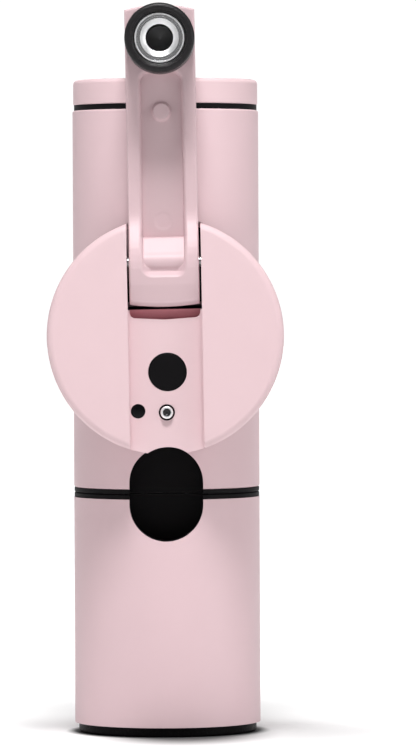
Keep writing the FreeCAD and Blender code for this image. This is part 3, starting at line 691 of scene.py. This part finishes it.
def outside_channel(x, t):
    """Distance out of the channel's rounded outline, and how far that way points down."""
    middle = (CHANNEL_LOW + CHANNEL_HIGH) / 2
    over_x = abs(x) - (CHANNEL_HALF - CHANNEL_ROUND)
    over_t = abs(t - middle) - ((CHANNEL_HIGH - CHANNEL_LOW) / 2 - CHANNEL_ROUND)
    gap = math.hypot(max(over_x, 0.0), max(over_t, 0.0)) + min(max(over_x, over_t), 0.0)
    steep = max(over_t, 0.0) / max(math.hypot(max(over_x, 0.0), max(over_t, 0.0)), 1e-9)
    return gap - CHANNEL_ROUND, steep ** 2 if t < middle else 0.0


def arm_height(x, t, skin):
    """Height of the arm's front at a place, given its height between the channel's walls."""
    height = skin
    gap, down = outside_channel(x, t)
    width = SIDE_WALL + (END_WALL - SIDE_WALL) * down
    if gap < width:
        floor = channel_floor(t)
        if gap <= 0:
            height = floor
            ring = math.hypot(x, t - MARK_AT)
            height -= 0.12 * (1 - smooth(ring, 1.95, 2.15))
        else:
            part = gap / width
            wall = math.sqrt(1 - (1 - part) ** 2) ** 0.8
            slope = smooth(part, -0.08, 1.0)
            height = floor + (skin - floor) * (wall * (1 - down) + slope * down)
    near = abs(x) - (ARM_SIDE - ARM_EDGE)
    if near > 0:
        height -= ARM_EDGE - math.sqrt(max(ARM_EDGE * ARM_EDGE - near * near, 0.0))
    return height


def spaced(low, high, step, *fine):
    """Numbers from low to high, closer together within the (centre, reach) stretches."""
    values, value = [low], low
    while value < high - 1e-6:
        close = any(abs(value - centre) < stretch for centre, stretch in fine)
        value = min(high, value + (step / 5 if close else step))
        values.append(value)
    return values


def make_arm():
    low, high = span("swing_arm")
    back = -high.y
    tail, tip = low.z - HINGE_LEVEL, high.z - HINGE_LEVEL
    front = trace([
        (ARM_THICK, tip), (ARM_THICK, 13.2, 8.4), (4.35, 9.2), (6.8, 5.0, -13.1),
        (8.5, -1.5, -38.2), (7.3, tail + 1.4, -1.4), (5.9, tail), (5.9, tail - 1)])[:-1]
    rear = trace([(0.0, tip), (0.0, tail + 1.8, 1.8), (1.8, tail), (1.8, tail - 1)])[:-1]
    across = spaced(-ARM_SIDE, ARM_SIDE, 0.34, (-ARM_SIDE, 0.7), (ARM_SIDE, 0.7),
                    (-CHANNEL_HALF - 0.3, 0.8), (CHANNEL_HALF + 0.3, 0.8))
    along = spaced(tail, tip, 0.34, (tail, 1.7), (STEP_AT + 0.1, 0.3), (tip, 0.4),
                   (CHANNEL_LOW - 1, 1.6), (CHANNEL_HIGH + 0.4, 0.8))
    mesh = bmesh.new()
    front_rows, back_rows = [], []
    for t in along:
        skin, under = read_off(front, t), read_off(rear, t)
        front_row, back_row = [], []
        for x in across:
            bow = x * x / 2
            low_shift = (bow / TAIL_BOW) * (1 - smooth(t, tail, tail + 8))
            high_shift = (bow / TIP_BOW) * smooth(t, tip - 8, tip)
            place = HINGE_LEVEL + t + low_shift - high_shift
            height = arm_height(x, t, skin)
            past = t - (tip - TIP_EDGE)
            if past > 0:
                height -= TIP_EDGE - math.sqrt(max(TIP_EDGE * TIP_EDGE - past * past, 0.0))
            front_row.append(mesh.verts.new((x, -back - height, place)))
            back_row.append(mesh.verts.new((x, -back - under, place)))
        front_rows.append(front_row)
        back_rows.append(back_row)
    for index in range(len(along) - 1):
        for column in range(len(across) - 1):
            mesh.faces.new((front_rows[index][column], front_rows[index][column + 1],
                            front_rows[index + 1][column + 1], front_rows[index + 1][column]))
            mesh.faces.new((back_rows[index][column], back_rows[index + 1][column],
                            back_rows[index + 1][column + 1], back_rows[index][column + 1]))
        for column in (0, -1):
            mesh.faces.new((front_rows[index][column], front_rows[index + 1][column],
                            back_rows[index + 1][column], back_rows[index][column]))
    for index in (0, -1):
        for column in range(len(across) - 1):
            mesh.faces.new((front_rows[index][column], front_rows[index][column + 1],
                            back_rows[index][column + 1], back_rows[index][column]))
    finished(as_object("arm_body", mesh), "swing_arm")


def make_keeper():
    low, high = span("latch_keeper")
    z = (low.z + high.z) / 2
    back, face = -high.y, -low.y
    tall = face - back
    stem = 0.8
    keeper = turned("latch_stud", [
        (0, 0), (1.2, 0), (1.2, stem), (2.55, stem), (2.5, stem + 0.06, -1.2),
        (2.1, tall - 0.35, 0.35), (1.75, tall), (0, tall)], (0, -back, z), forward_at, 96)
    finished(keeper, "latch_keeper")


def make_knob():
    low, high = knob_low, knob_high
    back, face = -high.y, -low.y
    radius, tall = high.x, face - back
    bore = 6.32
    seat = (0, -back, KNOB_LEVEL)
    ring = turned("knob_rubber", [
        (bore, 0), (radius - 0.3, 0, 0.3), (radius, 0.3), (radius, tall - 1.1, 1.1),
        (radius - 1.1, tall, 1.4), (radius - 1.75, tall - 0.2), (bore + 0.35, tall - 0.75, -0.9),
        (bore, tall - 0.95)], seat, forward_at)
    finished(ring, "rubber_ring")

    socket_low, socket_high = span("camera_socket")
    stem = -socket_high.y
    face = -socket_low.y - stem
    base = back - stem
    floor = base + 0.6
    socket = turned("thread_socket", [
        (0, 0), (4.0, 0), (4.0, base), (6.15, base), (6.15, face - 0.25, 0.25), (5.9, face),
        (5.72, face), (5.6, face - 0.25), (5.3, face - 0.25), (5.2, face - 0.1),
        (4.82, face - 0.1), (4.74, face - 0.22), (4.66, face - 0.22), (4.58, face - 0.12, 0.5),
        (4.4, face - 0.3), (3.5, face - 1.1, 0.3), (3.32, face - 1.35), (3.175, face - 1.5),
        (3.175, floor + 1.8), (0.2, floor), (0, floor)],
        (0, -stem, KNOB_LEVEL), forward_at)
    finished(socket, "camera_socket")
    drilled_front = stem + floor + 1.85

    def off_axis(point):
        return math.hypot(point.x, point.z - KNOB_LEVEL)

    # the bore near its mouth is near black as painted shade, deeper it is drilled steel; the
    # bevel and the face's outer rim get a painted highlight
    recolour(socket, lambda point: off_axis(point) < 3.3 and -point.y > drilled_front, dark_painted_shade_metal)
    recolour(socket, lambda point: off_axis(point) < 3.2
             and stem + base < -point.y < drilled_front, drilled)
    recolour(socket, lambda point: 3.3 < off_axis(point) < 4.62
             or off_axis(point) > 5.7 and -point.y > stem + face - 0.4, painted_highlight_metal)


# ---- stage, light and camera ----

# The floor's contact shade, in metres, is an ellipse drawn out towards the front and set
# slightly forward and to the right, with a narrow dark ring round the foot and a faint round
# shade at the right.
SHADE_STRETCH = 0.62
SHADE_FORWARD = 0.010
SHADE_RIGHT = 0.004
FAINT_CENTRE = (0.030, -0.006, 0)
FLOOR_SIZE = 6000


def make_stage():
    """A pale floor, darker where the foot rests on it and white far behind."""
    mesh = bmesh.new()
    bmesh.ops.create_grid(mesh, x_segments=8, y_segments=8, size=FLOOR_SIZE)
    floor = as_object("studio_floor", mesh)
    floor.data.transform(Matrix.Scale(MM, 4))
    graph = Graph("pale_floor")
    stretched = graph.add("ShaderNodeVectorMath", operation="MULTIPLY_ADD")
    graph.wire(graph.place, stretched, 0)
    stretched.inputs[1].default_value = (1, SHADE_STRETCH, 1)
    stretched.inputs[2].default_value = (-SHADE_RIGHT, SHADE_STRETCH * SHADE_FORWARD, 0)
    forward = graph.add("ShaderNodeVectorMath", operation="LENGTH")
    round_foot = graph.add("ShaderNodeVectorMath", operation="LENGTH")
    graph.wire(stretched.outputs["Vector"], forward, 0)
    graph.wire(graph.place, round_foot, 0)
    beside = graph.add("ShaderNodeVectorMath", operation="DISTANCE")
    graph.wire(graph.place, beside, 0)
    beside.inputs[1].default_value = FAINT_CENTRE
    apart = graph.add("ShaderNodeSeparateXYZ")
    graph.wire(graph.place, apart, 0)

    def fade(source, near, far, at_near, at_far):
        node = graph.add("ShaderNodeMapRange", interpolation_type="SMOOTHSTEP")
        for key, value in (("From Min", near), ("From Max", far),
                           ("To Min", at_near), ("To Max", at_far)):
            node.inputs[key].default_value = value
        graph.wire(source, node, "Value")
        return node.outputs["Result"]

    def product(first, second):
        node = graph.add("ShaderNodeMath", operation="MULTIPLY")
        graph.wire(first, node, 0)
        graph.wire(second, node, 1)
        return node.outputs["Value"]

    shade = product(fade(forward.outputs["Value"], 0.009, 0.026, 0.0, 1.0),
                    fade(round_foot.outputs["Value"], 0.0225, 0.0262, 0.0, 1.0))
    shade = product(shade, fade(beside.outputs["Value"], 0.0, 0.042, 0.72, 1.0))
    graph.tint(shade, (0.10, 0.10, 0.10), (0.90, 0.90, 0.90))
    graph.set(Roughness=0.7)
    graph.surface.inputs["Emission Color"].default_value = (1, 1, 1, 1)
    # the floor glows behind the object and at its left, so that it stays white there
    behind = fade(apart.outputs["Y"], -0.05, 0.30, 0.10, 0.85)
    left = fade(apart.outputs["X"], -0.04, -0.02, 0.22, 0.0)
    glow = graph.add("ShaderNodeMath", operation="MAXIMUM")
    graph.wire(behind, glow, 0)
    graph.wire(left, glow, 1)
    graph.wire(product(glow.outputs["Value"], shade), graph.surface, "Emission Strength")
    floor.data.materials.append(graph.material)


# Brightness of the surroundings up to the horizon and straight above, and of the white
# backdrop, which takes up the directions close to straight behind the object.
AMBIENT_LOW = 0.11
AMBIENT_TOP = 0.32
BACKDROP_WHITE = 1.05
BACKDROP_EDGE = 0.80
BACKDROP_FULL = 0.97


def make_world():
    """White straight behind the object and dimmer elsewhere, as in a studio."""
    world = bpy.data.worlds.new("studio")
    world.use_nodes = True
    bpy.context.scene.world = world
    tree = world.node_tree
    place = tree.nodes.new("ShaderNodeTexCoord")
    split = tree.nodes.new("ShaderNodeSeparateXYZ")
    tree.links.new(place.outputs["Generated"], split.inputs["Vector"])
    fade = tree.nodes.new("ShaderNodeMapRange")
    fade.interpolation_type = "SMOOTHSTEP"
    fade.inputs["From Min"].default_value = BACKDROP_EDGE
    fade.inputs["From Max"].default_value = BACKDROP_FULL
    fade.inputs["To Max"].default_value = BACKDROP_WHITE
    tree.links.new(split.outputs["Y"], fade.inputs["Value"])
    rise = tree.nodes.new("ShaderNodeMapRange")
    rise.inputs["To Min"].default_value = AMBIENT_LOW
    rise.inputs["To Max"].default_value = AMBIENT_TOP
    tree.links.new(split.outputs["Z"], rise.inputs["Value"])
    tree.links.new(rise.outputs["Result"], fade.inputs["To Min"])
    tree.links.new(fade.outputs["Result"], tree.nodes["Background"].inputs["Strength"])
    tree.nodes["Background"].inputs["Color"].default_value = (1, 1, 1, 1)


def area_light(name, place, target, size, height, power, colour=(1, 1, 1)):
    data = bpy.data.lights.new(name, "AREA")
    data.shape = "RECTANGLE"
    data.size = size
    data.size_y = height
    data.energy = power
    data.color = colour
    light = bpy.data.objects.new(name, data)
    light.location = place
    light.rotation_euler = (Vector(target) - Vector(place)).to_track_quat("-Z", "Y").to_euler()
    bpy.context.scene.collection.objects.link(light)
    return light


def make_lights():
    """A high softbox in front, a strong side light at the right and a weak one at the left."""
    middle = (0, 0, 0.1)
    area_light("overhead_key", (0, -0.318, 0.724), middle, 0.18, 0.18, 5.3)
    area_light("right_side", (1.36, -0.63, 0.45), middle, 0.6, 0.9, 5.3)
    area_light("left_side", (-1.36, -0.63, 0.45), middle, 0.6, 0.9, 2.3)


# the camera's roll, in degrees
ROLL = -0.245


def make_camera():
    eye, target = Vector((0.0104, -1.432, 0.1189)), Vector((0.0104, 0, 0.08905))
    data = bpy.data.cameras.new("photo_camera")
    data.sensor_width = 36.0
    data.lens = 275.3
    data.clip_end = 50.0
    camera = bpy.data.objects.new("photo_camera", data)
    camera.location = eye
    aim = (target - eye).to_track_quat("-Z", "Y").to_matrix().to_4x4()
    roll = Matrix.Rotation(math.radians(ROLL), 4, "Z")
    camera.rotation_euler = (aim @ roll).to_euler()
    bpy.context.scene.collection.objects.link(camera)
    bpy.context.scene.camera = camera


make_camera()
make_world()
make_lights()
make_stage()
make_foot()
make_lower_shell()
make_cap()
make_disc()
make_button()
make_window()
make_post()
make_arm()
make_keeper()
make_knob()

bpy.context.scene.view_settings.view_transform = "Standard"
